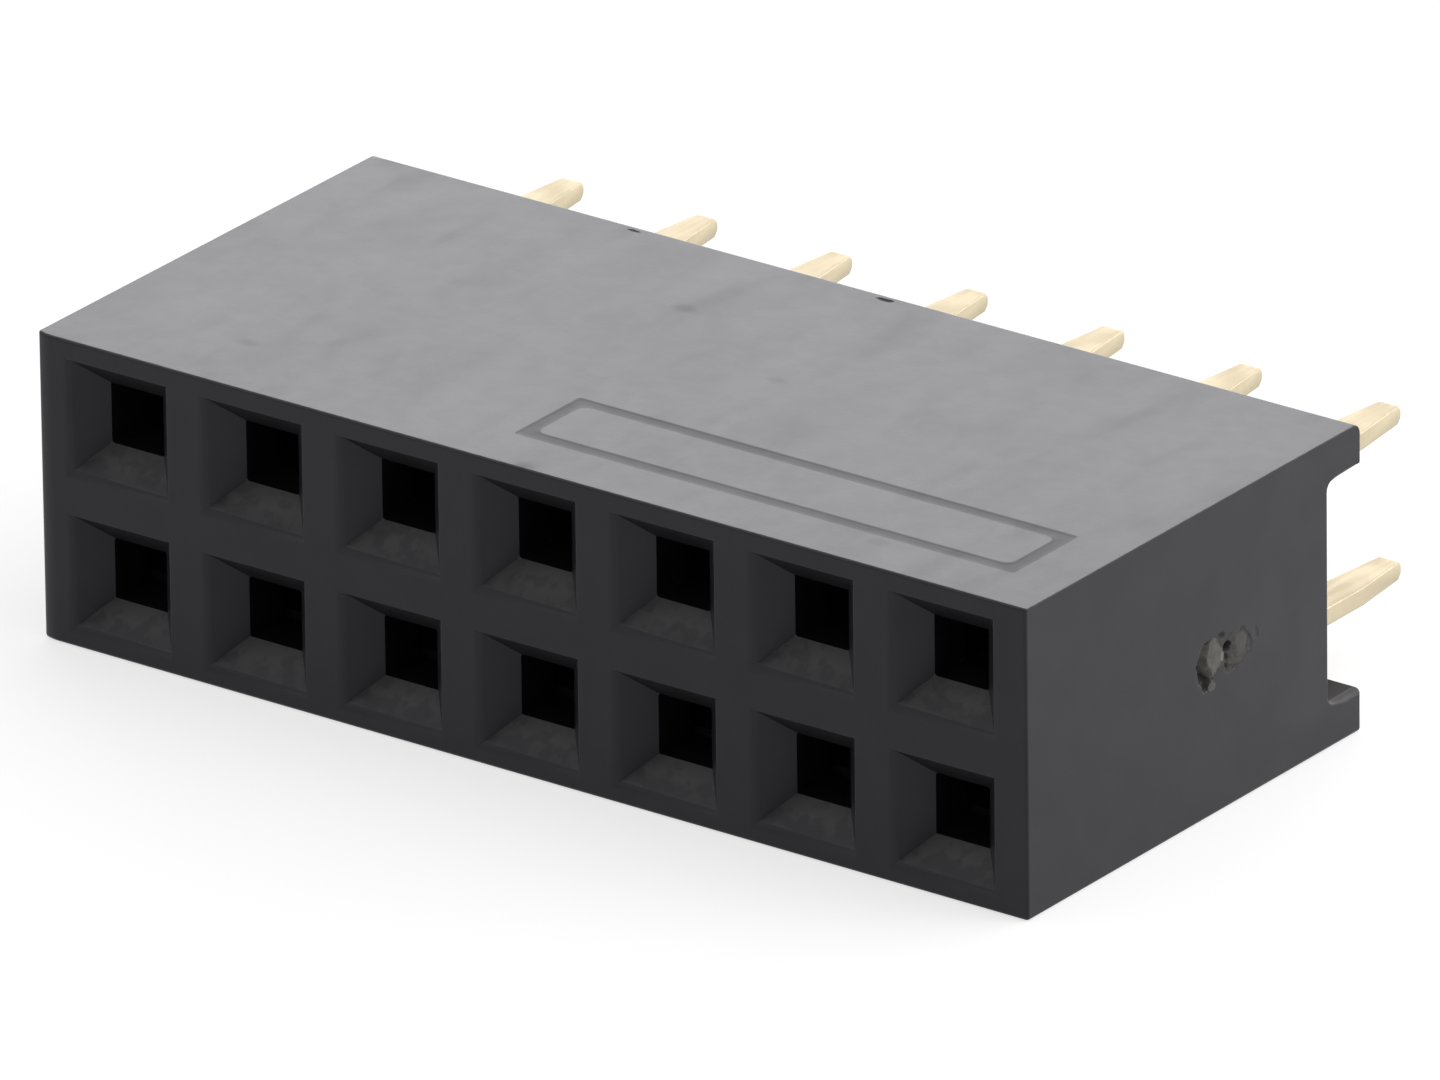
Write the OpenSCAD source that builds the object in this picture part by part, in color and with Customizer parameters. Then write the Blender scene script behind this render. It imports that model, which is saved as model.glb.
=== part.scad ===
// Female pin header for a circuit board: a moulded housing with two rows of square sockets,
// and a stamped and folded spring contact pressed into each socket from behind.
// It lies on its long side wall. +X runs along the rows, +Y from the mating face to the
// solder tails, and +Z up across the rows. The origin is under the middle of the whole box.
// Sizes are in millimetres.

/* [Grid] */
// Distance between contacts, along and across the rows
pitch = 2.54; // [2.4:0.02:2.7]
// Contacts in each row
columns = 7; // [2:1:20]

/* [Housing] */
// Plastic beyond the last half pitch at each end of the rows
end_margin = 0.25; // [0.1:0.05:1]
// Height across the two rows, from one side wall to the other
body_height = 5; // [4.8:0.05:6.5]
// Depth from the mating face to the board
body_depth = 8.5; // [7.8:0.1:12]
// Depth of the rear channel that keeps the body off the board
standoff = 0.83; // [0.3:0.01:1.2]
// Thickness of the two rails that stand on the board
rail_thickness = 0.7; // [0.4:0.02:0.7]
// Radius of the upper rail's outer rear edge
rail_round = 0.17; // [0.05:0.01:0.3]

/* [Sockets] */
// Side of the square mouth on the mating face
mouth = 1.86; // [1.4:0.02:2]
// Side of the square throat that guides a pin
throat = 0.98; // [0.8:0.02:1.04]
// Depth of the lead-in from the mouth to the throat
lead_in = 0.49; // [0.2:0.01:0.8]
// Length of the straight throat behind the lead-in
throat_length = 0.8; // [0.3:0.05:1.4]
// Width of the contact cavity, along the rows
cavity_width = 1.7; // [1.5:0.02:2]
// Height of the contact cavity, across the rows
cavity_height = 1.04; // [0.96:0.02:1.2]
// Height of the step in the cavity that stops the contact's base plate
seat_step = 0.17; // [0.1:0.01:0.2]
// Clearance between a contact and its cavity, on each side
fit = 0.03; // [0.01:0.01:0.06]

/* [Contact] */
// Thickness of the contact's sheet metal
sheet = 0.3; // [0.2:0.01:0.32]
// Inside radius of the folds between the base plate and the side walls
fold_radius = 0.15; // [0.05:0.01:0.2]
// Length of the folded box that grips the cavity
box_length = 1.6; // [1:0.05:2]
// Straight run of each spring before it leans inwards
root_length = 0.2; // [0.05:0.05:0.5]
// Inside radius of the bend that leans each spring inwards
root_radius = 0.6; // [0.3:0.05:1]
// Distance from the end of the throat to the bump that touches a pin
bump_setback = 1.46; // [1.2:0.02:2]
// Inside radius of that bump
bump_radius = 0.3; // [0.1:0.05:0.5]
// Gap between the two springs at their bumps
contact_gap = 0.46; // [0.3:0.02:0.6]
// Outward lean of the lip in front of the bump, in degrees
lip_angle = 22; // [10:1:30]
// Length of that lip
lip_length = 0.45; // [0.2:0.05:0.6]
// Height of each spring at its lip
lip_height = 0.44; // [0.3:0.02:0.6]
// How far a retaining barb stands out of the box's side wall
barb_height = 0.08; // [0.05:0.01:0.15]
// Length of a barb's ramp
barb_length = 0.5; // [0.2:0.05:0.8]
// Width of a barb, across the rows
barb_width = 0.3; // [0.1:0.02:0.4]
// Distance from the barb's step to the rear of the box
barb_inset = 0.3; // [0.1:0.05:0.6]

/* [Tail] */
// Width of the solder tail
tail_width = 0.6; // [0.4:0.02:0.8]
// Length of the tail beyond the board's face
tail_length = 3; // [2:0.1:6]
// Inside radius of the two bends that bring the tail onto its row's centre line
jog_radius = 0.25; // [0.15:0.01:0.4]
// Distance from the rear bend to the floor of the channel
jog_recess = 0.1; // [0.05:0.05:0.4]
// Length of the tail's tapered tip
tip_length = 1.2; // [0.5:0.05:1.6]
// Width at the end of the tip
tip_width = 0.34; // [0.2:0.02:0.38]
// Chamfer on the upper and lower edge of the tip's end
tip_chamfer = 0.08; // [0.02:0.01:0.09]

/* [Marks] */
// Length of the plain framed panel on the upper side wall
panel_length = 9.15; // [4:0.05:10]
// Width of the panel
panel_width = 1.65; // [1:0.05:2.5]
// Distance from the mating face to the panel
panel_from_face = 1; // [0.5:0.05:3]
// Distance from the right end wall to the panel
panel_from_end = 0.94; // [0.5:0.02:4]
// Width of the groove that frames the panel
groove_width = 0.24; // [0.1:0.02:0.4]
// Depth of that groove
groove_depth = 0.03; // [0.02:0.01:0.2]
// Distance from the mating face to the middle of the moulding gate's hollow, in the right end wall
gate_from_face = 5.05; // [3:0.05:6]
// Length of the gate's hollow
gate_length = 1.6; // [0.8:0.05:2]
// Height of the gate's hollow
gate_height = 0.76; // [0.4:0.02:1]
// Depth of the gate's hollow
gate_depth = 0.12; // [0.05:0.01:0.2]

/* [Hidden] */
$fn = 48;
overcut = 0.1;
row_names = ["a", "b"];
function contact_name(row, col) = str("contact_", row_names[row], col + 1);

plastic = [0.16, 0.16, 0.17];
gold = [0.87, 0.76, 0.5];

// Places on the grid
body_length = columns * pitch + 2 * end_margin;
face_y = -(body_depth + tail_length) / 2;
throat_end = lead_in + throat_length;
channel_floor = body_depth - standoff;
function column_x(col) = (col - (columns - 1) / 2) * pitch;
function row_z(row) = body_height / 2 + (row == 0 ? 1 : -1) * pitch / 2;

// The folded box fills the cavity, less its clearance
box_half = cavity_width / 2 - fit;
box_inner_half = box_half - sheet;
box_height = cavity_height - 2 * fit;
box_bottom = -box_height / 2;
wall_bottom = box_bottom + sheet + fold_radius;
wall_height = box_height - sheet - fold_radius;

// Two equal bends lift the tail from the base plate to the centre line
jog_rise = -box_bottom - sheet / 2;
jog_middle_radius = jog_radius + sheet / 2;
jog_angle = acos(1 - jog_rise / (2 * jog_middle_radius));
box_rear = channel_floor - jog_recess - 2 * jog_middle_radius * sin(jog_angle);
box_front = box_rear - box_length;
tail_run = body_depth + tail_length - channel_floor + jog_recess - tip_chamfer;

// Each spring runs from the box's wall to its bump along two bends with a straight between them
bump_depth = throat_end + bump_setback;
spring_run = box_front - root_length - bump_depth;
spring_drop = box_inner_half - contact_gap / 2;
spring_radii = root_radius + bump_radius + sheet;
spring_straight = sqrt(pow(spring_run, 2) + pow(spring_drop, 2) - 2 * spring_drop * spring_radii);
spring_angle = atan2(spring_drop - spring_radii, spring_run) + atan2(spring_radii, spring_straight);
lip_end = bump_depth - (bump_radius + sheet) * sin(lip_angle) - lip_length * cos(lip_angle);
barb_rear = box_rear - barb_inset;

// One bend of the sheet about the origin, from straight below or straight above it
module bend(radius, angle) {
    start = angle > 0 ? -90 : 90;
    reach = 2 * (radius + sheet);
    intersection() {
        difference() {
            circle(radius + sheet);
            circle(radius);
        }
        polygon([
            [0, 0],
            for (part = [0, 0.5, 1]) reach * [cos(start + part * angle), sin(start + part * angle)]
        ]);
    }
}

// A strip of sheet seen on edge, laid along +X with its faces at y = 0 and y = sheet.
// A step is [length] for a straight run or [inside radius, angle] for a bend, where a positive
// angle turns towards the second face. What is drawn as a child follows at the strip's end.
module strip(steps, i = 0) {
    if (i == len(steps)) {
        children();
    } else if (len(steps[i]) == 1) {
        square([steps[i][0], sheet]);
        translate([steps[i][0], 0]) strip(steps, i + 1) children();
    } else {
        centre = steps[i][1] > 0 ? sheet + steps[i][0] : -steps[i][0];
        translate([0, centre]) {
            bend(steps[i][0], steps[i][1]);
            rotate(steps[i][1]) translate([0, -centre]) strip(steps, i + 1) children();
        }
    }
}

// Stands a profile drawn in the YZ plane up along X, centred
module along_x(width) {
    rotate([90, 0, 90]) linear_extrude(width, center = true) children();
}

// Both halves of something that is the same on the left and on the right
module both_sides() {
    children();
    mirror([1, 0, 0]) children();
}

// Puts a socket or a contact on the grid, with the base plate towards the outer side wall
module on_grid(row, col) {
    translate([column_x(col), face_y, row_z(row)])
        mirror([0, 0, row == 0 ? 1 : 0])
            children();
}

// A barb on the right wall of the box, or the nick that it cuts, larger by a gap on each side
module barb(gap) {
    translate([0, 0, wall_bottom + wall_height / 2])
        linear_extrude(barb_width + 2 * gap, center = true)
            polygon([
                [box_half - sheet / 2, barb_rear - barb_length - gap],
                [box_half + gap, barb_rear - barb_length - gap],
                [box_half + barb_height + gap, barb_rear + gap],
                [box_half - sheet / 2, barb_rear + gap]
            ]);
}

// Housing

// The square funnel at the mouth of a socket
module lead_in_cut() {
    module slope() {
        linear_extrude(mouth, center = true)
            polygon([
                [-mouth / 2, -overcut],
                [mouth / 2, -overcut],
                [mouth / 2, 0],
                [throat / 2, lead_in],
                [-throat / 2, lead_in],
                [-mouth / 2, 0]
            ]);
    }
    intersection() {
        slope();
        rotate([0, -90, 0]) slope();
    }
}

// A box-shaped cut between two depths, with its own height range
module cut_box(width, from, to, low, high) {
    translate([-width / 2, from, low]) cube([width, to - from, high - low]);
}

// Everything that one socket takes out of the housing
module socket_cut() {
    top = cavity_height / 2;
    lead_in_cut();
    cut_box(throat, 0, throat_end + overcut, -throat / 2, throat / 2);
    cut_box(cavity_width, throat_end, box_front, seat_step - top, top);
    cut_box(cavity_width, box_front, channel_floor + overcut, -top, top);
    both_sides() barb(fit);
}

// Upper rear corner of the housing's section that its rounding takes away
module round_off() {
    difference() {
        square(2 * rail_round, center = true);
        translate([-rail_round, -rail_round]) circle(rail_round);
    }
}

// Section of the housing across its rows, with the rails and the channel between them
module housing_section() {
    difference() {
        square([body_depth, body_height]);
        translate([channel_floor, rail_thickness])
            square([standoff + overcut, body_height - 2 * rail_thickness]);
        translate([body_depth, body_height]) round_off();
    }
}

// Groove round the plain panel on the upper side wall
module panel_groove() {
    translate([
        body_length / 2 - panel_from_end - panel_length,
        panel_from_face,
        body_height - groove_depth
    ])
        difference() {
            cube([panel_length, panel_width, groove_depth + overcut]);
            translate([groove_width, groove_width, -overcut])
                cube([
                    panel_length - 2 * groove_width,
                    panel_width - 2 * groove_width,
                    groove_depth + 3 * overcut
                ]);
        }
}

// Round-ended hollow in the right end wall, where the moulding gate broke off
module gate_hollow() {
    ends = gate_length - gate_height;
    translate([body_length / 2 + overcut / 2 - gate_depth / 2, gate_from_face, body_height / 2])
        along_x(gate_depth + overcut) {
            square([ends, gate_height], center = true);
            for (side = [-1, 1]) translate([side * ends / 2, 0]) circle(gate_height / 2);
        }
}

module housing() {
    color(plastic)
        difference() {
            translate([0, face_y, 0])
                difference() {
                    along_x(body_length) housing_section();
                    panel_groove();
                    gate_hollow();
                }
            for (row = [0, 1]) for (col = [0 : columns - 1]) on_grid(row, col) socket_cut();
        }
}

// Contact

// Base plate and side walls, folded to a box that is open on one side
module folded_box() {
    translate([0, box_rear, box_bottom])
        rotate([90, 0, 0])
            linear_extrude(box_length)
                both_sides()
                    strip([[box_half - sheet - fold_radius], [fold_radius, 90], [wall_height]]);
}

// Height of a spring along its length, from the box's wall down to its lip
module spring_side() {
    polygon([
        [box_front, wall_bottom],
        [box_front, wall_bottom + wall_height],
        [lip_end, lip_height / 2],
        [lip_end - overcut, lip_height / 2],
        [lip_end - overcut, -lip_height / 2],
        [lip_end, -lip_height / 2]
    ]);
}

// The right spring: it leans inwards, touches a pin at its bump and flares out at its lip
module spring() {
    intersection() {
        translate([box_inner_half, box_front, 0])
            rotate(-90)
                linear_extrude(box_height, center = true)
                    strip([
                        [root_length],
                        [root_radius, -spring_angle],
                        [spring_straight],
                        [bump_radius, spring_angle + lip_angle],
                        [lip_length]
                    ]);
        along_x(cavity_width) spring_side();
    }
}

// End of the tail seen on edge, chamfered above and below
module tip_end() {
    polygon([[0, 0], [tip_chamfer, tip_chamfer], [tip_chamfer, sheet - tip_chamfer], [0, sheet]]);
}

// The tail seen from above, with its tapered tip
module tail_outline() {
    tail_end = body_depth + tail_length;
    polygon([
        [-tail_width / 2, box_rear],
        [tail_width / 2, box_rear],
        [tail_width / 2, tail_end - tip_length],
        [tip_width / 2, tail_end],
        [-tip_width / 2, tail_end],
        [-tail_width / 2, tail_end - tip_length]
    ]);
}

// The tail leaves the base plate, rises to the centre line and runs through the board
module tail() {
    intersection() {
        translate([0, box_rear, box_bottom])
            along_x(tail_width)
                strip([[jog_radius, jog_angle], [jog_radius, -jog_angle], [tail_run]]) tip_end();
        linear_extrude(cavity_height, center = true) tail_outline();
    }
}

module contact(row, col) {
    color(gold)
        on_grid(row, col) {
            folded_box();
            both_sides() {
                spring();
                barb(0);
            }
            tail();
        }
}

housing();
for (row = [0, 1])
    for (col = [0 : columns - 1])
        contact(row, col);
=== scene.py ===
import math

import bmesh
import bpy
from mathutils import Matrix, Vector, noise


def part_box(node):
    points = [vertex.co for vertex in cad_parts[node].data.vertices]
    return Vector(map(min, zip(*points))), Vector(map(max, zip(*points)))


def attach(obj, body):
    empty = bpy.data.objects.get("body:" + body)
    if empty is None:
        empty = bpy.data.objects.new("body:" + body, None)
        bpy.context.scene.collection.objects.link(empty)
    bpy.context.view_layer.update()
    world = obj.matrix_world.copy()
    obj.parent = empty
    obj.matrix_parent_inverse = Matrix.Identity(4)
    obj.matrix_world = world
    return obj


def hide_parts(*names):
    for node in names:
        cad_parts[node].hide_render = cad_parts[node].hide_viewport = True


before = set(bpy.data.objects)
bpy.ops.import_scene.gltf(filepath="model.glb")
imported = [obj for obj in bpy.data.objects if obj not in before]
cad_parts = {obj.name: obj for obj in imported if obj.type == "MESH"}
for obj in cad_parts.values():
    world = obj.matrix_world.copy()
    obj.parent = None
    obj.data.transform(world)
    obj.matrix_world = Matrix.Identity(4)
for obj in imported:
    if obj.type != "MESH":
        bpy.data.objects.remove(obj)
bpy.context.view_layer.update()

MM = 0.001
MICRON = 1e-6
X, Y, Z = range(3)

# Camera, from the photograph's own perspective
CAMERA_AZIMUTH = math.radians(36.649)
CAMERA_ELEVATION = math.radians(23.396)
CAMERA_ROLL = math.radians(-0.737)
CAMERA_DISTANCE = 409.34 * MM
CAMERA_AIM = Vector((0, -1.5, 2.54)) * MM
CAMERA_OFFSET = (0.3456 * MM, -0.1752 * MM)
CAMERA_LENS = 684.5
CAMERA_CLIP = (0.01, 20)
SENSOR_WIDTH = 36

# Light, where a radiance of 1 is white
WORLD_FILL = 0.75
LIGHTS = {
    "top_light": {
        "direction": (0.35, 0.3, 1),
        "distance": 0.5,
        "size": (0.4, 0.4),
        "radiance": 1.2,
    },
    "back_light": {
        "direction": (-0.573, 0.771, 0.28),
        "distance": 0.4,
        "size": (0.32, 0.16),
        "radiance": 3.85,
        "colour": (0.965, 0.965, 1),
    },
    "end_light": {
        "direction": (0.62, 0.75, 0.2),
        "distance": 0.4,
        "size": (0.5, 0.16),
        "radiance": 4,
    },
    "side_light": {
        "direction": (0.92, 0.3, 0.27),
        "distance": 0.4,
        "size": (0.3, 0.22),
        "radiance": 4.4,
    },
}

# Floor, a little below the object
FLOOR_COLOUR = 0.36
FLOOR_GLOW = 0.64
FLOOR_ROUGHNESS = 0.9
FLOOR_RADIUS = 3
FLOOR_CORNERS = 96
FLOOR_DROP = 0.01 * MM

# How meshes are joined, cut, filled and shaded
NEAR = 0.002 * MM
MERGE_DISTANCE = 1e-7
CUT_DISTANCE = 1e-8
PLACE_DIGITS = 7
FLAT_ANGLE = math.radians(0.5)
SHARP_ANGLE = math.radians(25)
ALIKE = math.cos(SHARP_ANGLE)
AXIS_FACING = 0.99999
BROAD = 0.06 * MM
BEVEL_WEIGHTS = "bevel_weight_edge"
# Walls are filled at this scale, because the fill tells no smaller lengths apart
FILL_SCALE = 1024

# The housing's own places, as its solid has them
LOW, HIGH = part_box("housing")
MIDDLE_Z = (LOW.z + HIGH.z) / 2
PITCH = 2.54 * MM
COLUMNS = 7
COLUMN_X = [(i - (COLUMNS - 1) / 2) * PITCH for i in range(COLUMNS)]
ROW_Z = [MIDDLE_Z + side * PITCH / 2 for side in (-1, 1)]
THROAT_HALF = 0.49 * MM
LEAD_IN = 0.49 * MM
THROAT_END = 1.29 * MM
STANDOFF = 0.83 * MM
CHANNEL_FLOOR = HIGH.y - STANDOFF
RAIL_THICKNESS = 0.7 * MM
RAIL_FACES = (LOW.z + RAIL_THICKNESS, HIGH.z - RAIL_THICKNESS)
WALL = 0.2 * MM

# Rounding of the housing's edges
BASE_ROUND = 0.06 * MM
RIM_ROUND = 0.05 * MM
TOP_RIM_ROUND = 0.02 * MM
SOFT_MOUTH_ROUND = 0.1 * MM
CRISP_MOUTH_ROUND = 0.015 * MM
THROAT_ROUND = 0.04 * MM
WORN_THROAT_ROUND = 0.045 * MM
RAIL_ROUND = 0.04 * MM
RAIL_END_ROUND = 0.12 * MM
CHANNEL_ROUND = 0.14 * MM
CHANNEL_END = 0.5 * MM
ROUND_STEPS = 4

# The mating face falls back a little towards its left upright edge
FALL_LENGTH = 0.3 * MM
FALL_DEPTH = 0.06 * MM
FALL_REACH = 0.4 * MM
FALL_STEPS = 6

# The frame round the plain panel in the upper side wall: a soft-edged groove
PANEL_LOW = Vector((HIGH.x - 10.09 * MM, LOW.y + 1 * MM))
PANEL_HIGH = Vector((HIGH.x - 0.94 * MM, LOW.y + 2.65 * MM))
PANEL_HOLLOW = 0.03 * MM
GROOVE_WIDTH = 0.24 * MM
GROOVE_WALL = 0.08 * MM
GROOVE_DEPTH = 0.004 * MM
GROOVE_STEPS = 12
GROOVE_CORNER = 0.05 * MM
CORNER_STEPS = 6

# Small dents by the rear edge of the upper side wall, in mm:
# middle along X and Y, half sizes along X and Y, and depth
EDGE_DENTS = [
    (-4.1, 2.51, 0.12, 0.04, 0.012),
    (0.6, 2.5, 0.17, 0.055, 0.02),
]
# Each ring's share of a dent's size and of its depth
DENT_RINGS = ((1, 0), (0.75, 0.6), (0.4, 1))
DENT_CORNERS = 16
DENT_RAGGEDNESS = 0.4
DENT_WAVES = 1.7

# The torn gate mark in the right end wall
GATE_MIDDLE = Vector((HIGH.x, LOW.y + 5.05 * MM, MIDDLE_Z))
GATE_LENGTH = 1.6 * MM
GATE_HEIGHT = 0.76 * MM
GATE_DEPTH = 0.12 * MM
GATE_PATCH = (1.76 * MM, 1.04 * MM)
GATE_CELLS = (88, 52)
# Its hollows, and its lumps with a depth below zero, in mm:
# middle along Y and Z, half sizes along Y and Z, and depth, and then how pale each is
GATE_FORMS = [
    (-0.50, 0.00, 0.28, 0.40, 0.15, 0),
    (-0.36, 0.05, 0.28, 0.35, -0.16, 0.38),
    (-0.52, -0.30, 0.14, 0.15, 0.09, 0),
    (-0.37, -0.40, 0.11, 0.10, -0.09, 0.3),
    (0.24, 0.00, 0.40, 0.31, 0.03, 0.14),
    (0.35, 0.02, 0.18, 0.24, -0.03, 0.22),
    (0.06, 0.08, 0.12, 0.10, 0.28, 0),
    (0.02, -0.12, 0.09, 0.16, 0.06, 0),
    (-0.11, -0.01, 0.05, 0.09, -0.07, 0.8),
    (0.12, -0.25, 0.19, 0.09, 0.02, 0),
    (-0.15, 0.32, 0.14, 0.10, 0.025, 0),
    (0.61, -0.07, 0.08, 0.12, 0.014, 0.1),
    (0.75, 0.06, 0.08, 0.12, 0.012, 0.1),
]
FORM_SOFTNESS = 0.65
TORN_REACH = 0.97
GATE_FLOOR = 0.3
# The forms' outlines are warped, and the torn skin is rough, in mm and waves for each mm
WARP_SCALE = 6
WARP_REACH = 0.05
TEAR_SCALE = 11
TEAR_DEPTH = 0.018
TEAR_FADE = 0.03
# Dimension, lacunarity and octaves of the roughness
TEAR_FRACTAL = (0.8, 2, 4)
# The vector noise takes its offsets from this seed, and without one from the clock
NOISE_SEED = 4
noise.seed_set(NOISE_SEED)

# Rounding of the contacts' sheet
CONTACT_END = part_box("contact_a1")[1].y
SHEET_ROUND = 0.025 * MM
TIP_ROUND = 0.06 * MM
TIP_LENGTH = 0.1 * MM
SHEET_STEPS = 3
SHEET_ANGLE = math.radians(40)
# How strongly the broadest faces set the shading at their corners, 100 at most
FLAT_WEIGHT = 100

# Finishes of the housing, in the order of its materials; the last is painted shade, a darker and duller
# plastic where shade falls inside
MOULDED, TORN, ETCHED, SHADED_INSIDE = range(4)
# The upper slope of a lead-in faces down by more than this, and is given the painted shade
DOWNWARD = -0.6

# Noise patterns: grains for each mm, detail, and how far each axis is packed, or drawn out below 1
FLOW = {"grains": 1, "detail": 3, "stretch": (0.9, 0.35, 0.9)}
MOTTLE = {"grains": 1.5, "detail": 3}
SCUFFS = {"grains": 1.1, "detail": 2, "stretch": (1.5, 0.55, 1.5)}
GRAIN = {"grains": 14, "detail": 2}
SETTLED = {"grains": 2.2, "detail": 3}
PATCHES = {"grains": 4, "detail": 4}
CLOUDS = {"grains": 0.8, "detail": 3}
TEARING = {"grains": 6, "detail": 4}
FIBRES = {"grains": 30, "detail": 3, "stretch": (1, 0.5, 1)}
WOBBLE = {"grains": 9, "detail": 3}
STREAKS = {"grains": 1, "detail": 3, "stretch": (14, 0.6, 14)}
SHEAR_LINES = {"grains": 1, "detail": 3, "stretch": (4, 18, 2)}
TARNISH = {"grains": 1.8, "detail": 4}
# Nearly all of a noise lies between these
USUAL = (0.3, 0.7)
# Sockets of a Mix node that blends colours
MIX_PART, MIX_FIRST, MIX_SECOND = 0, 6, 7
MIX_RESULT = 2

# Plastic: colour, roughness, and what each pattern does to them
PLASTIC_COLOUR = (0.0070, 0.0064, 0.0086)
PLASTIC_TINT = (0.96, 0.95, 1, 1)
MOULDED_LOOK = {"roughness": 0.35, "specular": 0.275}
ETCHED_LOOK = {"roughness": 0.51, "specular": 0.275}
# Painted shade inside the sockets and the channel: a darker copy of the plastic, with duller gloss
SHADED_INSIDE_LOOK = {"roughness": 0.55, "specular": 0.15}
PAINTED_INSIDE_SHADE = 0.45
MOTTLE_SHADES = (0.85, 1.2)
FLOW_GLOSS = 0.014
MOTTLE_GLOSS = 0.005
SCUFF_SPAN = (0.52, 0.76)
SCUFF_GLOSS = 0.035
SMUDGE_STRETCH = (0.6, 0.9, 0.9)
SMUDGE_GRAINS = 0.5
SMUDGE_SPAN = (0.03, 0.09)
SMUDGE_GLOSS = 0.06
GRAIN_HEIGHT = 0.7 * MICRON
MOTTLE_HEIGHT = 1.6 * MICRON

# Dust on the plastic, with painted light: where each lies, and how much of the pale colour shows there
DUST_AND_LIGHT_COLOUR = (0.044, 0.043, 0.0435, 1)
FULLY_FACING = (0.85, 0.95)
LEANING_SPAN = (0.5, 0.7)
SETTLED_SPAN = (0.36, 0.64)
LYING_DUST = (0.41, 0.59)
INWARD_PAINTED_LIGHT = (0.5, 1.5)
PATCH_SPAN = (0.4, 0.58)
PATCH_DUST_AND_LIGHT = (0.55, 1)
# Painted light: the end walls grow lighter towards the rear
REARWARD_PAINTED_LIGHT = (0.04, 0.2)
CLOUD_SPAN = (0.35, 0.65)
CLOUD_DUST_AND_LIGHT = (0.7, 1.3)

# Torn plastic
TORN_DARK = ((0.009, 0.0086, 0.0082, 1), (0.017, 0.016, 0.0145, 1))
TORN_PALE = ((0.12, 0.116, 0.106, 1), (0.175, 0.168, 0.153, 1))
TORN_SPAN = (0.35, 0.65)
TORN_ROUGHNESS = (0.5, 0.65)
TORN_SPECULAR = 0.2
FIBRE_HEIGHT = 3 * MICRON
LUMP_WOBBLE = 0.3
LUMP_EDGE = (0.75, 0.95)

# Gold flash on the rolled faces and the sheared sides of the contacts
GOLD_FLAT = ((0.553, 0.476, 0.334, 1), (0.53, 0.457, 0.328, 1))
GOLD_EDGE = ((0.443, 0.387, 0.279, 1), (0.455, 0.399, 0.286, 1))
SHEARED_SPAN = (0.4, 0.9)
DULLNESS_SPAN = (0.7, 1.3)
GOLD_ROUGHNESS = (0.56, 0.68)
STREAK_HEIGHT = 0.5 * MICRON
SHEAR_HEIGHT = 0.25 * MICRON


# Meshes

def eased(part):
    """Goes softly from 0 to 1 as a part does."""
    part = min(max(part, 0), 1)
    return part * part * (3 - 2 * part)


def whole_faces(node):
    """A copy of a solid's mesh, with its corners joined and each flat face in one piece."""
    mesh = bmesh.new()
    mesh.from_mesh(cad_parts[node].data)
    bmesh.ops.remove_doubles(mesh, verts=mesh.verts, dist=MERGE_DISTANCE)
    bmesh.ops.dissolve_limit(mesh, angle_limit=FLAT_ANGLE, verts=mesh.verts, edges=mesh.edges)
    return mesh


def new_piece(name, mesh, *materials):
    """A piece of the object from a finished bmesh, which it uses up."""
    data = bpy.data.meshes.new(name)
    mesh.to_mesh(data)
    mesh.free()
    for material in materials:
        data.materials.append(material)
    piece = bpy.data.objects.new(name, data)
    bpy.context.scene.collection.objects.link(piece)
    return piece


def rounded(mesh, radius_of, steps):
    """A mesh with each edge rounded to the radius that a function gives for it."""
    radii = [radius_of(edge) for edge in mesh.edges]
    widest = max(radii)
    layers = mesh.edges.layers.float
    weights = layers.get(BEVEL_WEIGHTS) or layers.new(BEVEL_WEIGHTS)
    for edge, radius in zip(mesh.edges, radii):
        edge[weights] = radius / widest
    draft = new_piece("draft", mesh)
    bevel = draft.modifiers.new("rounded_edges", "BEVEL")
    bevel.limit_method = "WEIGHT"
    bevel.width = widest
    bevel.segments = steps
    bevel.use_clamp_overlap = False
    bevel.loop_slide = False
    result = bmesh.new()
    result.from_object(draft, bpy.context.evaluated_depsgraph_get())
    data = draft.data
    bpy.data.objects.remove(draft)
    bpy.data.meshes.remove(data)
    return result


def shade_softly(mesh, sharp_angle):
    """Smooth shading, broken at the edges that are still sharp."""
    for face in mesh.faces:
        face.smooth = True
    for edge in mesh.edges:
        edge.smooth = edge.smooth and edge.calc_face_angle(0) < sharp_angle


def is_flat(face):
    """True for the flat faces between the roundings: those along an axis, and broad slopes."""
    along_axis = max(abs(part) for part in face.normal) > AXIS_FACING
    longest = max(edge.calc_length() for edge in face.edges)
    return along_axis or face.calc_area() / longest > BROAD


def flat_normals(mesh):
    """A normal for each corner of each face, so that flat faces shade flat up to their roundings."""
    mesh.normal_update()
    flat = {face for face in mesh.faces if is_flat(face)}
    normals = []
    for face in mesh.faces:
        for corner in face.loops:
            beside = [other.normal for other in corner.vert.link_faces if other in flat]
            near = [normal for normal in beside if normal.dot(face.normal) > ALIKE]
            nearest = max(near, key=face.normal.dot, default=Vector())
            normals.append((face.normal if face in flat else nearest).copy())
    return normals


def keep_flat(piece):
    """Lets a piece with few faces shade flat up to its roundings, by the size of each face."""
    normals = piece.modifiers.new("flat_faces_stay_flat", "WEIGHTED_NORMAL")
    normals.weight = FLAT_WEIGHT
    normals.keep_sharp = True


def lies_at(item, axis, place):
    """True where every corner of an edge or a face is at one place along an axis."""
    return all(abs(v.co[axis] - place) < NEAR for v in item.verts)


def reaches(edge, axis, low, high):
    """True where an edge runs from one place to another along an axis."""
    ends = sorted(v.co[axis] for v in edge.verts)
    return abs(ends[0] - low) < NEAR and abs(ends[1] - high) < NEAR


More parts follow.
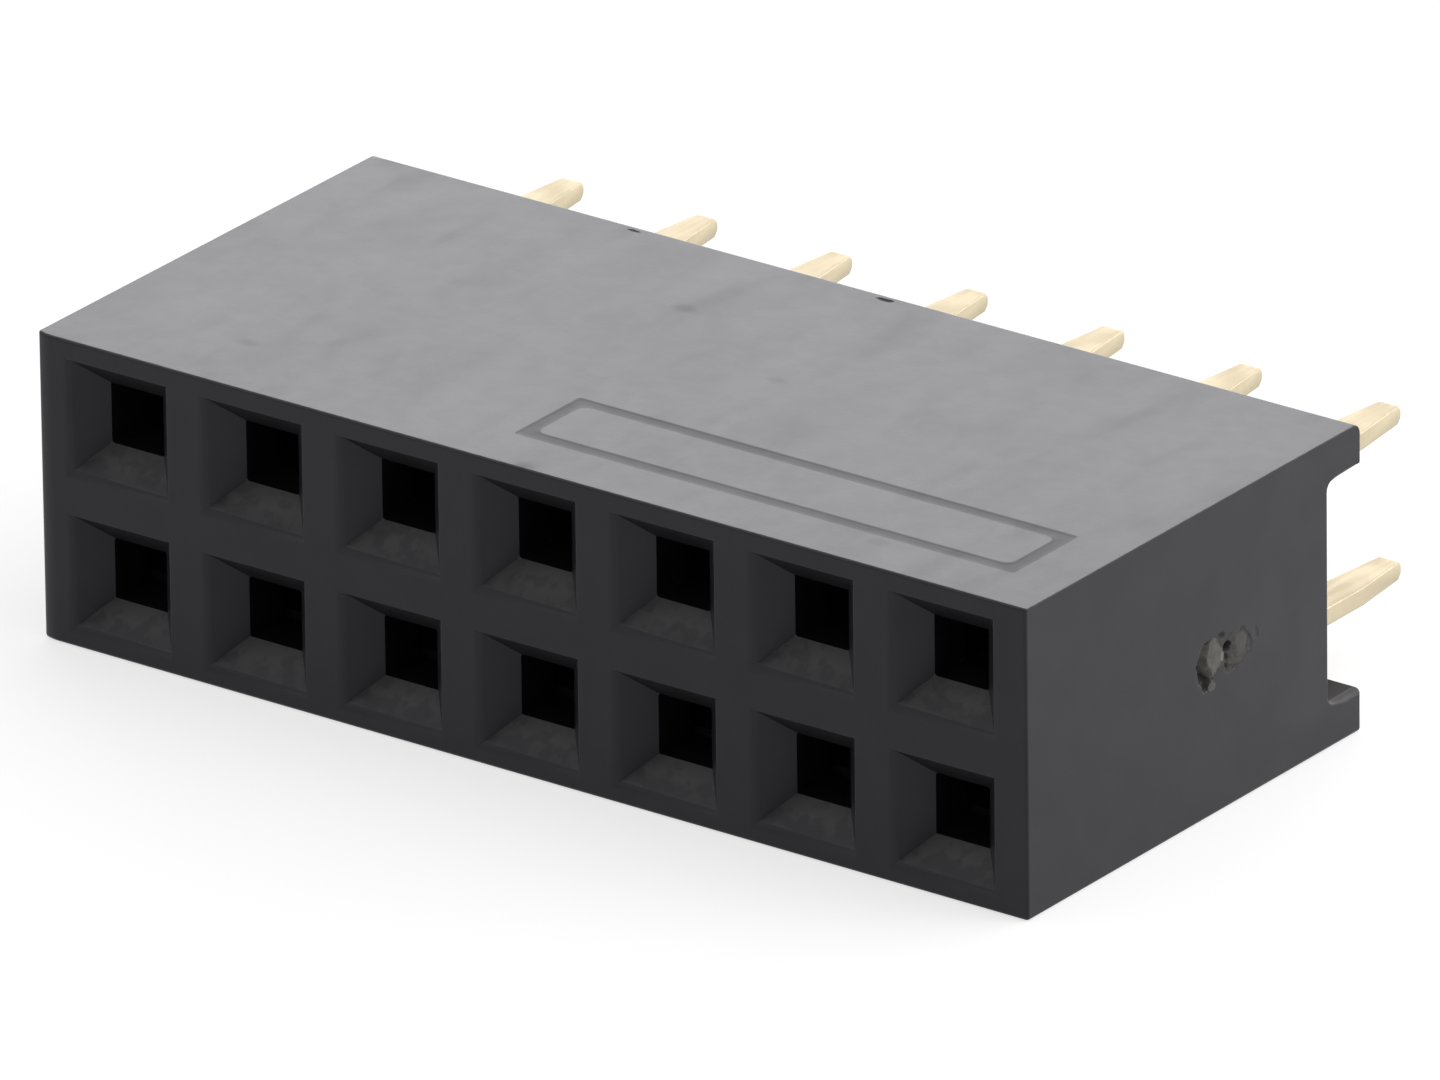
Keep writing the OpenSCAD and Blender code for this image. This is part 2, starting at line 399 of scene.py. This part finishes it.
def within(face, axes, low, high):
    """True where every corner of a face is inside a box, along the axes that are named."""
    return all(
        low[i] - NEAR < v.co[axis] < high[i] + NEAR
        for v in face.verts
        for i, axis in enumerate(axes)
    )


def closed_ring(mesh, points):
    """Points joined to a closed ring: its corners and its edges."""
    corners = [mesh.verts.new(p) for p in points]
    edges = [mesh.edges.new((a, b)) for a, b in zip(corners, corners[1:] + corners[:1])]
    return corners, edges


def lay_rings(mesh, rings, finish, middle_finish):
    """Faces from ring to ring, and one face inside the last ring."""
    for (outer, _), (inner, _) in zip(rings, rings[1:]):
        for i in range(len(outer)):
            face = mesh.faces.new((outer[i - 1], outer[i], inner[i], inner[i - 1]))
            face.material_index = finish
    mesh.faces.new(rings[-1][0]).material_index = middle_finish


def clear_wall(mesh, axis, place, in_hollow):
    """Takes a flat wall away, with the hollow in it, and returns the wall's outline."""
    old = [face for face in mesh.faces if lies_at(face, axis, place) or in_hollow(face)]
    bmesh.ops.delete(mesh, geom=old, context="FACES")
    return [edge for edge in mesh.edges if edge.is_boundary]


def fill_wall(mesh, outline, rims, outward):
    """Fills a flat wall between its outline and the rims of its hollows, which shade apart from it."""
    bmesh.ops.scale(mesh, vec=[FILL_SCALE] * 3, verts=mesh.verts)
    bmesh.ops.triangle_fill(mesh, use_beauty=True, edges=[*outline, *rims], normal=outward)
    bmesh.ops.scale(mesh, vec=[1 / FILL_SCALE] * 3, verts=mesh.verts)
    for edge in rims:
        edge.smooth = False


# Housing

def in_groove(face):
    """True for the faces of the solid's groove round the panel."""
    inside = within(face, (X, Y), PANEL_LOW, PANEL_HIGH)
    return inside and face.calc_center_median().z > HIGH.z - 2 * PANEL_HOLLOW


def in_gate(face):
    """True for the faces of the solid's hollow at the gate."""
    half = Vector((GATE_LENGTH, GATE_HEIGHT)) / 2
    middle = Vector((GATE_MIDDLE.y, GATE_MIDDLE.z))
    inside = within(face, (Y, Z), middle - half, middle + half)
    return inside and face.calc_center_median().x > HIGH.x - 2 * GATE_DEPTH


def close_hollows(mesh):
    """Makes the two walls that have shallow hollows plain for now."""
    for axis, place, in_hollow in ((Z, HIGH.z, in_groove), (X, HIGH.x, in_gate)):
        outline = clear_wall(mesh, axis, place, in_hollow)
        bmesh.ops.edgeloop_fill(mesh, edges=outline)
    bmesh.ops.recalc_face_normals(mesh, faces=mesh.faces)


def groove_ring(inset, depth):
    """Points of one ring along the panel's frame. Its corners grow rounder inwards."""
    low = PANEL_LOW + Vector((inset, inset))
    high = PANEL_HIGH - Vector((inset, inset))
    radius = GROOVE_CORNER + inset / 2
    corners = [
        (high.x - radius, high.y - radius),
        (low.x + radius, high.y - radius),
        (low.x + radius, low.y + radius),
        (high.x - radius, low.y + radius),
    ]
    points = []
    for quarter, (x, y) in enumerate(corners):
        for step in range(CORNER_STEPS + 1):
            turn = (quarter + step / CORNER_STEPS) * math.pi / 2
            points.append((x + radius * math.cos(turn), y + radius * math.sin(turn), HIGH.z - depth))
    return points


def groove_rings(mesh):
    """Rings that go softly down into the panel's frame and up again."""
    rings = []
    for step in range(GROOVE_STEPS + 1):
        inset = GROOVE_WIDTH * step / GROOVE_STEPS
        depth = GROOVE_DEPTH * eased(min(inset, GROOVE_WIDTH - inset) / GROOVE_WALL)
        rings.append(closed_ring(mesh, groove_ring(inset, depth)))
    return rings


def dent_rings(mesh, dent):
    """Ragged rings that step down into a small dent."""
    x, y, half_x, half_y, depth = (value * MM for value in dent)
    rings = []
    for size, down in DENT_RINGS:
        points = []
        for i in range(DENT_CORNERS):
            turn = math.tau * i / DENT_CORNERS
            away = Vector((math.cos(turn), math.sin(turn)))
            ragged = noise.noise(Vector((away.x, away.y, x / MM)) * DENT_WAVES)
            reach = size * (1 + DENT_RAGGEDNESS * ragged)
            place = (x + half_x * reach * away.x, y + half_y * reach * away.y, HIGH.z - depth * down)
            points.append(place)
        rings.append(closed_ring(mesh, points))
    return rings


def press_groove(mesh):
    """Presses the soft groove round the panel, and the dents, into the upper side wall."""
    outline = clear_wall(mesh, Z, HIGH.z, in_groove)
    dents = [dent_rings(mesh, dent) for dent in EDGE_DENTS]
    groove = groove_rings(mesh)
    rims = [edge for rings in [groove, *dents] for edge in rings[0][1]]
    fill_wall(mesh, outline, rims, (0, 0, 1))
    lay_rings(mesh, groove, ETCHED, MOULDED)
    for dent in dents:
        lay_rings(mesh, dent, ETCHED, ETCHED)
    for edge in groove[-1][1]:
        edge.smooth = False


def gate_surface(y, z):
    """Depth of the gate mark at a place from its middle, in mm, and whether the skin is torn there."""
    bend = noise.noise_vector(Vector((y, z, 0)) * WARP_SCALE) * WARP_REACH
    depth = 0
    is_torn = False
    for middle_y, middle_z, half_y, half_z, amount, _ in GATE_FORMS:
        reach = math.hypot((y + bend.x - middle_y) / half_y, (z + bend.y - middle_z) / half_z)
        depth += amount * eased((1 - reach) / FORM_SOFTNESS)
        is_torn = is_torn or reach < TORN_REACH
    roughness = noise.fractal(Vector((y, z, 0)) * TEAR_SCALE, *TEAR_FRACTAL)
    depth += TEAR_DEPTH * roughness * min(1, depth / TEAR_FADE)
    return min(max(depth, 0), GATE_FLOOR), is_torn


def gate_grid(mesh):
    """Corners over the gate mark, row by row, and those of them where the skin is torn."""
    columns, rows = GATE_CELLS
    grid = []
    torn = set()
    for row in range(rows + 1):
        z = (row / rows - 0.5) * GATE_PATCH[1]
        line = []
        for column in range(columns + 1):
            y = (column / columns - 0.5) * GATE_PATCH[0]
            at_rim = row in (0, rows) or column in (0, columns)
            depth, is_torn = gate_surface(y / MM, z / MM)
            corner = mesh.verts.new(GATE_MIDDLE + Vector((0 if at_rim else -depth * MM, y, z)))
            line.append(corner)
            if is_torn:
                torn.add(corner)
        grid.append(line)
    return grid, torn


def tear_gate(mesh):
    """Puts the torn mark that a broken gate leaves into the end wall, never past the wall."""
    outline = clear_wall(mesh, X, HIGH.x, in_gate)
    grid, torn = gate_grid(mesh)
    patch = []
    for lower, upper in zip(grid, grid[1:]):
        for i in range(len(lower) - 1):
            face = mesh.faces.new((lower[i], lower[i + 1], upper[i + 1], upper[i]))
            if torn.issuperset(face.verts):
                face.material_index = TORN
            patch.append(face)
    rim = [edge for face in patch for edge in face.edges if edge.is_boundary]
    fill_wall(mesh, outline, rim, (1, 0, 0))


def fall_back(mesh):
    """Lets the mating face fall back softly towards its left upright edge."""
    for step in range(FALL_STEPS):
        cut = (LOW.x + FALL_LENGTH * (step + 1) / FALL_STEPS, 0, 0)
        everything = mesh.verts[:] + mesh.edges[:] + mesh.faces[:]
        bmesh.ops.bisect_plane(
            mesh, geom=everything, dist=CUT_DISTANCE, plane_co=cut, plane_no=(1, 0, 0)
        )
    for vert in mesh.verts:
        along = 1 - (vert.co.x - LOW.x) / FALL_LENGTH
        behind = 1 - (vert.co.y - LOW.y) / FALL_REACH
        if along > 0 and behind > 0:
            vert.co.y += FALL_DEPTH * along ** 2 * behind


def part_at(edge, stops):
    """Parts an edge that runs along X at some places between its ends."""
    start = min(edge.verts, key=lambda v: v.co.x)
    end = edge.other_vert(start)
    for stop in stops:
        part = (stop - start.co.x) / (end.co.x - start.co.x)
        _, start = bmesh.utils.edge_split(edge, start, part)


def lay_plate(mesh, corners):
    """A flat face upright along X, from its corners in any order."""
    middle = sum((v.co for v in corners), Vector()) / len(corners)
    corners.sort(key=lambda v: math.atan2(v.co.z - middle.z, v.co.x - middle.x))
    mesh.faces.new(corners)


def lay_channel(mesh):
    """Lays the channel's floor anew, in plain plates between the rear openings of the sockets."""
    outline = clear_wall(mesh, Y, CHANNEL_FLOOR, lambda face: False)
    lines = sorted({round(v.co.x, PLACE_DIGITS) for edge in outline for v in edge.verts})
    levels = sorted({round(v.co.z, PLACE_DIGITS) for edge in outline for v in edge.verts})
    fillet_ends = [LOW.x + CHANNEL_END, HIGH.x - CHANNEL_END]
    for edge in outline:
        if edge.calc_length() > (HIGH.x - LOW.x) / 2:
            part_at(edge, sorted(lines[1:-1] + fillet_ends))
    corners = [v for v in mesh.verts if v.is_boundary]
    for i, (left, right) in enumerate(zip(lines, lines[1:])):
        column = [v for v in corners if left - NEAR < v.co.x < right + NEAR]
        beside_sockets = i % 2 == 0
        bands = [(levels[0], levels[-1])] if beside_sockets else zip(levels[::2], levels[1::2])
        for low, high in bands:
            lay_plate(mesh, [v for v in column if low - NEAR < v.co.z < high + NEAR])
    bmesh.ops.recalc_face_normals(mesh, faces=mesh.faces)


def is_beside_rail(edge):
    """True for an edge of a rail's inner face."""
    return any(lies_at(edge, Z, place) for place in RAIL_FACES)


def channel_radius(edge):
    """Radius of the fillets between the channel's floor and both ends of each rail."""
    at_floor = lies_at(edge, Y, CHANNEL_FLOOR)
    at_end = all(abs(v.co.x) > HIGH.x - CHANNEL_END - NEAR for v in edge.verts)
    return CHANNEL_ROUND if at_floor and is_beside_rail(edge) and at_end else 0


def is_worn_corner(edge):
    """True for the lower left of the four edges along a throat."""
    place = edge.verts[0].co
    left = any(abs(place.x - (x - THROAT_HALF)) < NEAR for x in COLUMN_X)
    low = any(abs(place.z - (z - THROAT_HALF)) < NEAR for z in ROW_Z)
    return left and low


def mouth_radius(edge):
    """Radius of an edge of a socket's mouth: soft on its left and below, crisper elsewhere."""
    place = (edge.verts[0].co + edge.verts[1].co) / 2
    across = place.x - round(place.x / PITCH) * PITCH
    height = place.z - MIDDLE_Z
    rise = height - (math.floor(height / PITCH) + 0.5) * PITCH
    soft = across < -THROAT_HALF or rise < -THROAT_HALF
    return SOFT_MOUTH_ROUND if soft else CRISP_MOUTH_ROUND


def housing_radius(edge):
    """Radius that an edge of the housing gets, or zero where it stays sharp."""
    if edge.calc_face_angle(0) < SHARP_ANGLE:
        return 0
    at_end = lies_at(edge, X, LOW.x) or lies_at(edge, X, HIGH.x)
    at_base = lies_at(edge, Z, LOW.z)
    at_rear = lies_at(edge, Y, HIGH.y)
    if at_base and not at_rear:
        return BASE_ROUND
    if at_end and is_beside_rail(edge):
        return RAIL_END_ROUND
    if at_end and all(v.co.z > HIGH.z - RAIL_THICKNESS - NEAR for v in edge.verts):
        return TOP_RIM_ROUND
    if at_end or at_base:
        return RIM_ROUND
    if lies_at(edge, Y, LOW.y):
        return RIM_ROUND if lies_at(edge, Z, HIGH.z) else mouth_radius(edge)
    if at_rear:
        return RAIL_ROUND
    if reaches(edge, Y, LOW.y + LEAD_IN, LOW.y + THROAT_END):
        return WORN_THROAT_ROUND if is_worn_corner(edge) else THROAT_ROUND
    return 0


def gets_painted_shade(face):
    """True for the faces that get painted shade: the sockets past their lead-ins, the lead-ins' upper
    slopes, and the channel.
    """
    place = face.calc_center_median()
    rise = min(place.z - LOW.z, HIGH.z - place.z)
    if abs(place.x) > HIGH.x - WALL or rise < WALL:
        return False
    if place.y < LOW.y + LEAD_IN:
        return place.y > LOW.y + NEAR and face.normal.z < DOWNWARD
    behind = place.y > CHANNEL_FLOOR - NEAR
    in_channel = rise > RAIL_THICKNESS - NEAR
    return in_channel if behind else True


def is_rail_end(face):
    """True for the rounding between a rail's inner face and an end wall."""
    place = face.calc_center_median()
    rise = min(place.z - LOW.z, HIGH.z - place.z)
    behind = place.y > CHANNEL_FLOOR - NEAR
    at_end = HIGH.x - abs(place.x) < RAIL_END_ROUND
    return behind and at_end and abs(rise - RAIL_THICKNESS) < CHANNEL_ROUND


def set_finishes_and_painted_shade(mesh):
    """Paints shade inside the sockets and the channel with a darker, duller plastic, and gives the
    rails' ends another finish.
    """
    mesh.normal_update()
    for face in mesh.faces:
        if is_rail_end(face):
            face.material_index = ETCHED
        elif gets_painted_shade(face):
            face.material_index = SHADED_INSIDE


def make_housing():
    """The moulded housing: the solid's form, with soft moulded edges, panel and gate mark."""
    mesh = whole_faces("housing")
    close_hollows(mesh)
    lay_channel(mesh)
    mesh = rounded(mesh, channel_radius, ROUND_STEPS)
    mesh = rounded(mesh, housing_radius, ROUND_STEPS)
    fall_back(mesh)
    press_groove(mesh)
    tear_gate(mesh)
    set_finishes_and_painted_shade(mesh)
    shade_softly(mesh, SHARP_ANGLE)
    materials = [
        plastic_material("moulded_plastic", PLASTIC_COLOUR, **MOULDED_LOOK),
        torn_material(),
        plastic_material("etched_plastic", PLASTIC_COLOUR, **ETCHED_LOOK),
        # Painted shade: a darker, duller copy of the plastic for the insides
        plastic_material("painted_shade_plastic", scaled(PLASTIC_COLOUR, PAINTED_INSIDE_SHADE), **SHADED_INSIDE_LOOK, dusty_and_lit=False),
    ]
    normals = flat_normals(mesh)
    piece = new_piece("housing_moulding", mesh, *materials)
    piece.data.normals_split_custom_set(normals)
    return piece


# Contacts

def contact_radius(edge):
    """Radius of an edge of a contact: wider round the end of the tail."""
    if edge.calc_face_angle(0) < SHEET_ANGLE:
        return 0
    at_tip = all(v.co.y > CONTACT_END - TIP_LENGTH for v in edge.verts)
    return TIP_ROUND if at_tip else SHEET_ROUND


def make_contact(node, material):
    """A contact in the solid's form, with the rolled and sheared edges of a stamped strip."""
    mesh = rounded(whole_faces(node), contact_radius, SHEET_STEPS)
    shade_softly(mesh, SHEET_ANGLE)
    piece = new_piece(node.replace("contact", "spring_contact"), mesh, material)
    keep_flat(piece)
    return piece


# Shader nodes

def new_material(name):
    """A material with nodes, with its tree and its main shader."""
    material = bpy.data.materials.new(name)
    material.use_nodes = True
    return material, material.node_tree, material.node_tree.nodes["Principled BSDF"]


def feed(tree, socket, value):
    """Gives a socket another node's output, or a plain value."""
    if isinstance(value, bpy.types.NodeSocket):
        tree.links.new(value, socket)
    else:
        socket.default_value = value


def connect(tree, node, inputs):
    """Gives some of a node's inputs their values."""
    for name, value in inputs.items():
        feed(tree, node.inputs[name], value)


def put(tree, kind, inputs, output=0, **settings):
    """One output of a new shader node. Each input is a value or another node's output."""
    made = tree.nodes.new("ShaderNode" + kind)
    for name, value in settings.items():
        setattr(made, name, value)
    connect(tree, made, inputs)
    return made.outputs[output]


def places(tree, stretch=(1, 1, 1)):
    """Places on the object in millimetres. A stretch below 1 draws a pattern out along that axis."""
    source = put(tree, "TexCoord", {}, "Object")
    return put(tree, "Mapping", {"Vector": source, "Scale": [s / MM for s in stretch]})


def pattern(tree, grains, detail, stretch=(1, 1, 1)):
    """A noise from 0 to 1, with a number of grains for each millimetre."""
    return put(tree, "TexNoise", {"Vector": places(tree, stretch), "Scale": grains, "Detail": detail})


def ranged(tree, value, start, end, low, high):
    """A value that goes softly from low to high as another goes from start to end."""
    inputs = {"Value": value, "From Min": start, "From Max": end, "To Min": low, "To Max": high}
    return put(tree, "MapRange", inputs, interpolation_type="SMOOTHSTEP")


def folded(tree, operation, values):
    """Some values joined one after the other by an operation."""
    result = values[0]
    for value in values[1:]:
        result = put(tree, "Math", {0: result, 1: value}, operation=operation)
    return result


def total(tree, *values):
    """The sum of some values."""
    return folded(tree, "ADD", values)


def product(tree, *values):
    """The product of some values."""
    return folded(tree, "MULTIPLY", values)


def largest(tree, *values):
    """The largest of some values."""
    return folded(tree, "MAXIMUM", values)


def blend_colours(tree, part, first, second):
    """A colour between two, by a part from 0 to 1."""
    inputs = {MIX_PART: part, MIX_FIRST: first, MIX_SECOND: second}
    return put(tree, "Mix", inputs, MIX_RESULT, data_type="RGBA")


def raised(tree, heights):
    """A surface normal from bumps, each a noise and its height in metres."""
    normal = None
    for value, height in heights:
        inputs = {"Height": value, "Distance": height, "Strength": 1}
        if normal:
            inputs["Normal"] = normal
        normal = put(tree, "Bump", inputs)
    return normal


def facing(tree, axis):
    """How far a surface faces along an axis of the object, from -1 to 1."""
    return put(tree, "SeparateXYZ", {"Vector": put(tree, "TexCoord", {}, "Normal")}, axis)


def facing_sideways(tree):
    """How far a surface faces along X, either way, from 0 to 1."""
    return put(tree, "Math", {0: facing(tree, "X")}, operation="ABSOLUTE")


def scaled(colour, factor):
    """A colour times a factor, with full alpha."""
    return [c * factor for c in colour[:3]] + [1]


# Materials

def dust_and_painted_light(tree):
    """How much of the pale film shows: dust, even on top; dust and painted light, patchy on the upward
    slopes and growing towards the throats; painted light, thin on the end walls and growing towards the
    rear.
    """
    rise = facing(tree, "Z")
    depth = put(tree, "SeparateXYZ", {"Vector": places(tree)}, "Y")
    front, rear, throat = LOW.y / MM, HIGH.y / MM, (LOW.y + LEAD_IN) / MM
    lying = ranged(tree, rise, *FULLY_FACING, 0, 1)
    settled = ranged(tree, pattern(tree, **SETTLED), *SETTLED_SPAN, *LYING_DUST)
    leaning = total(tree, ranged(tree, rise, *LEANING_SPAN, 0, 1), product(tree, lying, -1))
    inward = ranged(tree, depth, front, throat, *INWARD_PAINTED_LIGHT)
    patches = ranged(tree, pattern(tree, **PATCHES), *PATCH_SPAN, *PATCH_DUST_AND_LIGHT)
    upright = ranged(tree, facing_sideways(tree), *FULLY_FACING, 0, 1)
    rearward = ranged(tree, depth, front, rear, *REARWARD_PAINTED_LIGHT)
    clouds = ranged(tree, pattern(tree, **CLOUDS), *CLOUD_SPAN, *CLOUD_DUST_AND_LIGHT)
    return total(
        tree,
        product(tree, lying, settled),
        product(tree, leaning, inward, patches),
        product(tree, upright, rearward, clouds),
    )


def plastic_gloss(tree, mottle, roughness):
    """Roughness of the plastic, with flow bands, scuffs and smudges."""
    flow = ranged(tree, pattern(tree, **FLOW), *USUAL, roughness - FLOW_GLOSS, roughness + FLOW_GLOSS)
    speckle = ranged(tree, mottle, *USUAL, -MOTTLE_GLOSS, MOTTLE_GLOSS)
    scuff = ranged(tree, pattern(tree, **SCUFFS), *SCUFF_SPAN, 0, SCUFF_GLOSS)
    spots = put(tree, "TexVoronoi", {"Vector": places(tree, SMUDGE_STRETCH), "Scale": SMUDGE_GRAINS})
    smudge = ranged(tree, spots, *SMUDGE_SPAN, SMUDGE_GLOSS, 0)
    return total(tree, flow, speckle, scuff, smudge)


def plastic_material(name, colour, roughness, specular, dusty_and_lit=True):
    """Black moulded plastic: satin, with flow bands, duller scuffs and smudges, and a fine grain."""
    material, tree, shader = new_material(name)
    mottle = pattern(tree, **MOTTLE)
    dark, light = (scaled(colour, factor) for factor in MOTTLE_SHADES)
    shade = blend_colours(tree, ranged(tree, mottle, *USUAL, 0, 1), dark, light)
    if dusty_and_lit:
        # A paler film: dust on top, and painted light on the upward slopes and the end walls
        shade = blend_colours(tree, dust_and_painted_light(tree), shade, DUST_AND_LIGHT_COLOUR)
    bumps = [(pattern(tree, **GRAIN), GRAIN_HEIGHT), (mottle, MOTTLE_HEIGHT)]
    connect(tree, shader, {
        "Base Color": shade,
        "Roughness": plastic_gloss(tree, mottle, roughness),
        "Normal": raised(tree, bumps),
        "Specular IOR Level": specular,
        "Specular Tint": PLASTIC_TINT,
    })
    return material


def lump_mask(tree):
    """How pale the torn skin is: by each lump or hollow's own paleness, and softly zero round them."""
    even = places(tree)
    wobble = {"Value": pattern(tree, **WOBBLE), "To Min": -LUMP_WOBBLE, "To Max": LUMP_WOBBLE}
    ragged = put(tree, "MapRange", wobble)
    masks = []
    for middle_y, middle_z, half_y, half_z, _, paleness in GATE_FORMS:
        if paleness:
            middle = (0, GATE_MIDDLE.y / MM + middle_y, GATE_MIDDLE.z / MM + middle_z)
            size = (0, 1 / half_y, 1 / half_z)
            place = [-m * s for m, s in zip(middle, size)]
            across = put(tree, "Mapping", {"Vector": even, "Location": place, "Scale": size})
            reach = put(tree, "VectorMath", {0: across}, "Value", operation="LENGTH")
            masks.append(ranged(tree, total(tree, reach, ragged), *LUMP_EDGE, paleness, 0))
    return largest(tree, *masks)


def torn_material():
    """Plastic where the gate was torn off: rough and fibrous, dark in the hollows, pale on the lumps."""
    material, tree, shader = new_material("torn_plastic")
    patches = ranged(tree, pattern(tree, **TEARING), *TORN_SPAN, 0, 1)
    dark = blend_colours(tree, patches, *TORN_DARK)
    pale = blend_colours(tree, patches, *TORN_PALE)
    connect(tree, shader, {
        "Base Color": blend_colours(tree, lump_mask(tree), dark, pale),
        "Roughness": ranged(tree, patches, 0, 1, *TORN_ROUGHNESS),
        "Normal": raised(tree, [(pattern(tree, **FIBRES), FIBRE_HEIGHT)]),
        "Specular IOR Level": TORN_SPECULAR,
    })
    return material


def gold_material():
    """Pale gold flash on a rolled strip: faint streaks along it, duller and darker sheared sides."""
    material, tree, shader = new_material("gold_flash")
    streaks = pattern(tree, **STREAKS)
    shear_lines = pattern(tree, **SHEAR_LINES)
    tarnish = pattern(tree, **TARNISH)
    flat_shade = blend_colours(tree, ranged(tree, tarnish, *USUAL, 0, 1), *GOLD_FLAT)
    edge_shade = blend_colours(tree, ranged(tree, shear_lines, *USUAL, 0, 1), *GOLD_EDGE)
    sheared = ranged(tree, facing_sideways(tree), *SHEARED_SPAN, 0, 1)
    dullness = total(tree, tarnish, streaks)
    connect(tree, shader, {
        "Base Color": blend_colours(tree, sheared, flat_shade, edge_shade),
        "Roughness": ranged(tree, dullness, *DULLNESS_SPAN, *GOLD_ROUGHNESS),
        "Normal": raised(tree, [(streaks, STREAK_HEIGHT), (shear_lines, SHEAR_HEIGHT)]),
        "Metallic": 1,
    })
    return material


def seen_or_mirrored(tree, otherwise, seen):
    """One strength where the camera, a gloss or a glass sees a surface, and another elsewhere."""
    path = tree.nodes.new("ShaderNodeLightPath")
    rays = [path.outputs[f"Is {kind} Ray"] for kind in ("Camera", "Glossy", "Transmission")]
    return put(tree, "MapRange", {"Value": largest(tree, *rays), "To Min": otherwise, "To Max": seen})


def floor_material():
    """Plain pale floor: grey by its colour, with a glow that brings it to white where it is seen."""
    material, tree, shader = new_material("pale_floor")
    connect(tree, shader, {
        "Base Color": (FLOOR_COLOUR, FLOOR_COLOUR, FLOOR_COLOUR, 1),
        "Roughness": FLOOR_ROUGHNESS,
        "Specular IOR Level": 0,
        "Emission Color": (1, 1, 1, 1),
        "Emission Strength": seen_or_mirrored(tree, 0, FLOOR_GLOW),
    })
    return material


# Studio

def make_camera():
    """A camera at the photograph's viewing angle, with its roll and its framing."""
    back = Vector((
        math.sin(CAMERA_AZIMUTH) * math.cos(CAMERA_ELEVATION),
        -math.cos(CAMERA_AZIMUTH) * math.cos(CAMERA_ELEVATION),
        math.sin(CAMERA_ELEVATION),
    ))
    level = Vector((math.cos(CAMERA_AZIMUTH), math.sin(CAMERA_AZIMUTH), 0))
    right = Matrix.Rotation(CAMERA_ROLL, 3, back) @ level
    up = back.cross(right)
    eye = CAMERA_AIM + back * CAMERA_DISTANCE + right * CAMERA_OFFSET[0] + up * CAMERA_OFFSET[1]
    data = bpy.data.cameras.new("camera")
    data.sensor_width = SENSOR_WIDTH
    data.sensor_fit = "HORIZONTAL"
    data.lens = CAMERA_LENS
    data.clip_start, data.clip_end = CAMERA_CLIP
    camera = bpy.data.objects.new("camera", data)
    bpy.context.scene.collection.objects.link(camera)
    camera.matrix_world = Matrix.Translation(eye) @ Matrix((right, up, back)).transposed().to_4x4()
    bpy.context.scene.camera = camera


def make_softbox(name, direction, distance, size, radiance, colour=(1, 1, 1)):
    """A soft area light that faces the object, of an even radiance where 1 is white."""
    data = bpy.data.lights.new(name, "AREA")
    data.shape = "RECTANGLE"
    data.size, data.size_y = size
    data.energy = radiance * math.pi * size[0] * size[1]
    data.color = colour
    light = bpy.data.objects.new(name, data)
    bpy.context.scene.collection.objects.link(light)
    direction = Vector(direction).normalized()
    light.location = CAMERA_AIM + direction * distance
    light.rotation_mode = "QUATERNION"
    light.rotation_quaternion = direction.to_track_quat("Z", "Y")
    light.visible_camera = False


def make_world():
    """White where it is seen or mirrored, and a plain even fill everywhere else."""
    world = bpy.data.worlds.new("studio")
    world.use_nodes = True
    bpy.context.scene.world = world
    tree = world.node_tree
    strength = seen_or_mirrored(tree, WORLD_FILL, 1)
    connect(tree, tree.nodes["Background"], {"Color": (1, 1, 1, 1), "Strength": strength})


def make_floor():
    """A wide round floor just under the object."""
    bpy.ops.mesh.primitive_circle_add(
        vertices=FLOOR_CORNERS, radius=FLOOR_RADIUS, fill_type="NGON", location=(0, 0, -FLOOR_DROP)
    )
    floor = bpy.context.object
    floor.name = "floor"
    floor.data.materials.append(floor_material())


# Scene

make_camera()
make_floor()
make_world()
for light_name, light_values in LIGHTS.items():
    make_softbox(light_name, **light_values)

housing = make_housing()
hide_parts("housing")
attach(housing, "root")

gold = gold_material()
for node in sorted(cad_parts):
    if node.startswith("contact_"):
        contact = make_contact(node, gold)
        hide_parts(node)
        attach(contact, "root")

bpy.context.scene.view_settings.view_transform = "Standard"
